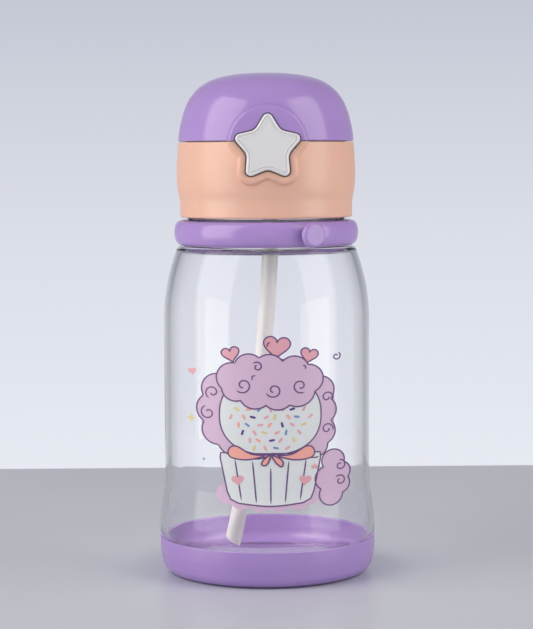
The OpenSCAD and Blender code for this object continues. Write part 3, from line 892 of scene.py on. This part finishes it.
def spark(x, z, size, arms=4, waist=0.32, lean=90.0):
    """A small star with straight-edged arms."""
    points = []
    for i in range(2 * arms):
        a = math.radians(lean + 180 * i / arms)
        reach = size if i % 2 == 0 else size * waist
        points.append((x + reach * math.cos(a), z + reach * math.sin(a)))
    return points


def curl(x, z, radius, start, sweep, steps=44):
    """A swirl that opens out from its middle."""
    points = []
    for i in range(steps + 1):
        t = i / steps
        a = math.radians(start + sweep * t)
        reach = radius * (0.3 + 0.9 * t)
        points.append((x + reach * math.cos(a), z + reach * math.sin(a)))
    return points


def resampled(path, gap=0.9):
    """The same path with no two points further apart than gap."""
    found = []
    for a, b in zip(path, path[1:]):
        cuts = max(1, math.ceil((Vector(b) - Vector(a)).length / gap))
        found += [tuple(Vector(a).lerp(Vector(b), k / cuts)) for k in range(cuts)]
    return found + [path[-1]]


def wrapped(x, z, lift):
    """A place on the barrel's skin, lift mm proud of it, for a point x and z of the flat drawing."""
    x, z = x + PRINT_X, PRINT_Z + PRINT_SCALE * z
    r = radius_at(PRINT_SIDE, z) + lift
    return mm(x, -math.sqrt(r * r - x * x), z)


def fill_ink(filling, outline, lift, step=2.0):
    """A filled patch of ink that follows the barrel."""
    patch = bmesh.new()
    patch.faces.new([patch.verts.new((x, 0, z)) for x, z in outline])
    bmesh.ops.triangulate(patch, faces=patch.faces[:])
    for axis, normal in ((0, (1, 0, 0)), (1, (0, 0, 1))):
        values = [p[axis] for p in outline]
        for k in range(math.ceil(min(values) / step), math.floor(max(values) / step) + 1):
            place = Vector(normal) * k * step
            bmesh.ops.bisect_plane(
                patch, geom=patch.verts[:] + patch.edges[:] + patch.faces[:], plane_co=place, plane_no=normal
            )
    flat = [(v.co.x, v.co.z) for v in patch.verts]
    patch.verts.index_update()
    faces = [[v.index for v in face.verts] for face in patch.faces]
    rim = [[v.index for v in edge.verts] for edge in patch.edges if edge.is_boundary]
    patch.free()
    low = [filling.verts.new(wrapped(x, z, lift)) for x, z in flat]
    high = [filling.verts.new(wrapped(x, z, lift + INK_THICK)) for x, z in flat]
    for face in faces:
        filling.faces.new([high[i] for i in face])
        filling.faces.new([low[i] for i in reversed(face)])
    for a, b in rim:
        filling.faces.new((low[a], low[b], high[b], high[a]))


def line_ink(filling, path, lift, width=0.52, closed=False):
    """A drawn line of ink that follows the barrel."""
    path = resampled(path + path[:1] if closed else path)
    if closed:
        path = path[:-1]
    rings = []
    count = len(path)
    for i, here in enumerate(path):
        before = path[(i - 1) % count if closed else max(i - 1, 0)]
        after = path[(i + 1) % count if closed else min(i + 1, count - 1)]
        along = (Vector(after) - Vector(before)).normalized()
        across = Vector((-along.y, along.x)) * width / 2
        taper = 1 if closed else min(1, 0.35 + min(i, count - 1 - i) * 0.3)
        left, right = Vector(here) + across * taper, Vector(here) - across * taper
        top = lift + INK_THICK
        rings.append([wrapped(left.x, left.y, lift), wrapped(right.x, right.y, lift),
                      wrapped(right.x, right.y, top), wrapped(left.x, left.y, top)])
    loft(filling, rings, closed=closed)


def sprinkles():
    """Short rods of sugar strewn over the icing in even rows, by ink."""
    found = {}
    order = ("coral", "violet", "pink", "yellow", "coral", "blue", "pink")
    half_rod = 0.65
    count = 0
    for row in range(6):
        z = 60.6 - 2.9 * row
        half = 16 * math.sqrt(max(0, 1 - ((z - 58.4) / 14.8) ** 2)) - 1.2
        for column in range(-5, 6):
            x = 1 + 3.9 * column + 1.95 * (row % 2) + 0.5 * math.sin(5 * row + 3 * column)
            count += 1
            if abs(x - 1) > half:
                continue
            lean = 47 * count % 180
            rod = []
            for end in (lean, lean + 180):
                a = math.radians(end)
                middle = (x + half_rod * math.cos(a), z + half_rod * math.sin(a))
                rod += arc(middle, 0.42, end - 90, end + 90, 5)
            found.setdefault(order[count % len(order)], []).append(rod)
    return found


FROSTING_LOW = cloud((1, 60), [
    (-17.5, 68, 5.8), (-19.2, 60.4, 5.9), (-17.6, 52.6, 5.6), (-12.5, 48.4, 5), (-4, 50, 8), (8, 50, 8),
    (16.5, 46.8, 4.9), (19.2, 51.6, 5), (19.4, 59.6, 5.2), (18.4, 67.2, 5.4), (0, 62, 18)])
FROSTING_TOP = cloud((1, 72), [
    (-12.4, 72.4, 5.6), (-6.6, 76.2, 5.2), (0.6, 75.6, 5.6), (9.4, 75.2, 5.3), (14.4, 71.8, 5.4),
    (10.6, 67.8, 6.3), (3.6, 66.2, 5.8), (-4.4, 66.6, 5.8), (-11.2, 68.6, 5)])
ICING = oval(1, 58.4, 18, 14.8, 2.35)
TUFT = cloud((23.4, 33), [
    (23.4, 40.2, 4.2), (26, 35.6, 3.8), (26, 31, 3.6), (22.6, 27.6, 4.3), (21.4, 33.6, 4.6)])
SAUCER = cloud((1, 27.6), [
    (-14.6, 28.6, 3.8), (-9.4, 26.6, 3.9), (-3, 26, 4), (4, 26, 4), (10.8, 26.5, 4),
    (16, 28.4, 3.8), (-6, 29, 5), (8, 29, 5), (1, 29, 6)])
CASE = [(-16.6, 44), (-16.8, 42), (-14.4, 29.6), (-13.2, 26.6)]
CASE += smooth([(-10.4, 25.2), (1, 24.2), (12.4, 25.2)], 6)
CASE += [(15.2, 26.6), (16.4, 29.6), (18.8, 42), (18.6, 44)]
BOW_LEFT = smooth([(-0.8, 43.4), (-6, 43.9), (-10.8, 46.6), (-13.2, 46.2), (-14, 43.9), (-12.4, 42.2),
                   (-7, 41.7), (-0.8, 43.2)], 5)[:-1]
BOW_RIGHT = [(2.6 - x, z - 0.2) for x, z in reversed(BOW_LEFT)]
RIBBON_LEFT = smooth([(0.4, 43.4), (-1.6, 41.6), (-2.2, 39.9), (-0.8, 39.6), (0.4, 41.2),
                      (0.9, 43.2)], 4)[:-1]
RIBBON_RIGHT = smooth([(1.2, 43.3), (3, 40.4), (4.9, 39), (5.4, 40.6), (4.2, 42.2), (1.9, 43.3)], 4)[:-1]
SIDE_HEARTS = [heart(-12.8, 80.8, 6.4, 14), heart(14.6, 80.2, 6.4, -14)]
CHERRY = heart(3.2, 83.4, 9.6, -6)
CHERRY_SHINE = arc((1.5, 84.3), 1.6, 110, 190, 8)

# (ink, outlines to fill, layer): a higher layer lies on the ones below
PATCHES = [
    ("lilac", [SAUCER, TUFT, FROSTING_LOW], 0),
    ("pale", [CASE, ICING], 1),
    ("pink", SIDE_HEARTS + [CHERRY], 0),
    ("lilac", [FROSTING_TOP], 3),
    ("coral", [BOW_LEFT, BOW_RIGHT], 3),
    ("coral", [RIBBON_LEFT, RIBBON_RIGHT], 5),
    ("pink", [heart(-10.6, 33.6, 4.4, 8), heart(13.2, 33.4, 4.4, -8), spark(16.6, 38.6, 1.3, 5, 0.45)], 3),
    ("pink", [heart(-26.6, 73.8, 3.1, 8)], 0),
    ("yellow", [spark(-27, 56.2, 1.9)], 0),
    ("blue", [spark(-22.6, 41, 0.9)], 0),
]
PATCHES += [(name, rods, 2) for name, rods in sprinkles().items()]
LOW_CURLS = [
    curl(-19.4, 66.6, 2.2, 200, 400), curl(-21, 58.8, 2.3, 150, -400), curl(21.2, 64.4, 1.9, 10, -400),
    curl(21.2, 52.4, 1.9, 20, -400), curl(26, 38, 1.8, 60, 400), curl(26, 32.2, 1.8, 100, 400)]
TOP_CURLS = [
    curl(-8.6, 69.6, 2.5, 280, -420), curl(2.2, 67.8, 2.4, 260, -420), curl(11.6, 69.2, 2.3, 240, 420),
    curl(-3.6, 76.6, 1.6, 100, 400), arc((12.6, 76), 0.9, 100, -40, 8), arc((-4.6, 72.4), 0.9, 60, 240, 8)]
PLEATS = [
    [(-11.6, 41.6), (-10.5, 34), (-9.4, 26.4)], [(-5.4, 41), (-4.7, 33), (-4.1, 25.6)],
    [(1, 38.6), (1, 32), (1, 25.2)],
    [(7.4, 41), (6.7, 33), (6.1, 25.6)], [(13.6, 41.6), (12.5, 34), (11.4, 26.4)]]
# (paths, layer, closed) of the thin outlines
LINES = [
    ([TUFT, FROSTING_LOW, CHERRY] + SIDE_HEARTS, 1, True),
    ([CASE, ICING], 2, True),
    ([FROSTING_TOP, BOW_LEFT, BOW_RIGHT], 4, True),
    ([RIBBON_LEFT, RIBBON_RIGHT], 6, True),
    (LOW_CURLS, 1, False),
    (TOP_CURLS, 4, False),
    (PLEATS + [CHERRY_SHINE, curl(24.6, 79.6, 1.35, 20, 400)], 2, False),
]


def ink_layers():
    """One printed piece for each ink, its patches and lines held a hair off the barrel."""
    by_ink = {}
    for name, outlines, layer in PATCHES:
        by_ink.setdefault(name, []).extend((fill_ink, outline, layer, {}) for outline in outlines)
    by_ink["outline"] = [
        (line_ink, path, layer, {"closed": closed}) for paths, layer, closed in LINES for path in paths]
    for name, jobs in by_ink.items():

        def build(filling):
            for draw, shape, layer, extra in jobs:
                draw(filling, shape, INK_LIFT + INK_STEP * layer, **extra)

        piece = add_mesh(f"print_{name}", build, inks[name], "bottle")
        for face in piece.data.polygons:
            face.use_smooth = True


ink_layers()

# ---------------------------------------------------------------- finishes of the parts kept as they are

KEPT = {
    "inner_cap": white_pp,
    "straw_connector": white_pp,
    "latch_cover": white_pp,
    "latch_slider": white_pp,
    "lid_liner": white_pp,
    "neck_gasket": milky_silicone,
    "vent_valve": milky_silicone,
    "spout_stopper": milky_silicone,
    "cover_screws": wire_steel,
    "hinge_pin": wire_steel,
}
for name, finish in KEPT.items():
    kept = nodes[name]
    kept.data.materials.clear()
    kept.data.materials.append(finish)

# ---------------------------------------------------------------- floor, backdrop, lights, camera


def build_floor():
    """A plain pale floor that ends a little way behind the bottle."""
    floor = new_object("floor", box((-420, -900, -20), (420, 245, 0)))
    material, shader = new_material("pale_floor")
    here = {"Vector": node(material, "ShaderNodeTexCoord").outputs["Object"]}
    mottle = node(material, "ShaderNodeTexNoise", {"Scale": 4.0, "Detail": 5.0}, here)
    tone = ramp(material, mottle.outputs["Fac"], [(0.35, "#C8CBD4"), (0.65, "#D0D3DB")])
    material.node_tree.links.new(tone.outputs["Color"], shader.inputs["Base Color"])
    shader.inputs["Roughness"].default_value = 0.32
    floor.data.materials.append(material)


def soft_light(name, place, aim, size, power, colour="#FFFFFF"):
    """A rectangular soft box."""
    data = bpy.data.lights.new(name, "AREA")
    data.shape = "RECTANGLE"
    data.size, data.size_y = size
    data.energy = power
    data.color = linear(colour)[:3]
    lamp = bpy.data.objects.new(name, data)
    lamp.location = place
    lamp.rotation_euler = (Vector(aim) - Vector(place)).to_track_quat("-Z", "Y").to_euler()
    bpy.context.collection.objects.link(lamp)


def build_world():
    """A cool studio backdrop, paler towards the floor, and a dim room behind the camera."""
    world = bpy.data.worlds.new("studio")
    world.use_nodes = True
    bpy.context.scene.world = world
    stops = [
        (0.0, "#ECEFF6"), (0.045, "#E6E9F1"), (0.13, "#DCDFE8"), (0.19, "#D0D3DE"),
        (0.235, "#C4C7D3"), (0.5, "#B0B4C2"), (1.0, "#8E92A0")]
    behind = {"From Min": 0.25, "From Max": 0.9, "To Min": 0.68, "To Max": 1.0}
    flanks = {"From Min": 0.17, "From Max": 0.42, "To Min": 1.0, "To Max": 0.6}
    place = node(world, "ShaderNodeTexCoord")
    split = node(world, "ShaderNodeSeparateXYZ", {}, {"Vector": place.outputs["Generated"]})
    height = node(world, "ShaderNodeMapRange", {"From Min": -0.2}, {"Value": split.outputs["Z"]})
    fade = ramp(world, height.outputs["Result"], stops)
    depth = node(world, "ShaderNodeMapRange", behind, {"Value": split.outputs["Y"]})
    aside = node(world, "ShaderNodeMath", {"operation": "ABSOLUTE"}, {0: split.outputs["X"]})
    flank = node(world, "ShaderNodeMapRange", flanks, {"Value": aside.outputs[0]})
    both = {0: depth.outputs["Result"], 1: flank.outputs["Result"]}
    strength = node(world, "ShaderNodeMath", {"operation": "MULTIPLY"}, both)
    background = world.node_tree.nodes["Background"]
    world.node_tree.links.new(fade.outputs["Color"], background.inputs["Color"])
    world.node_tree.links.new(strength.outputs[0], background.inputs["Strength"])


def build_camera():
    """A long lens a little above the bottle's shoulder, looking slightly down."""
    data = bpy.data.cameras.new("camera")
    data.lens = 114.2
    data.sensor_width = 36
    data.clip_start = 0.01
    camera = bpy.data.objects.new("camera", data)
    distance, eye_z = 734, 152.3
    turn, dip, roll, yaw = (math.radians(angle) for angle in (-1.1, 4.47, 0.25, -0.017))
    camera.location = mm(distance * math.sin(turn), -distance * math.cos(turn), eye_z)
    camera.rotation_euler = (math.pi / 2 - dip, roll, turn + yaw)
    bpy.context.collection.objects.link(camera)
    bpy.context.scene.camera = camera


build_floor()
build_world()
build_camera()
soft_light("box_left", (-0.95, -0.44, 0.5), (0, 0, 0.13), (0.95, 1.6), 15.5, "#FFFAF0")
soft_light("box_right", (0.95, -0.46, 0.5), (0, 0, 0.13), (0.8, 1.6), 11.5, "#FFFAF0")
bpy.context.scene.view_settings.view_transform = "Standard"
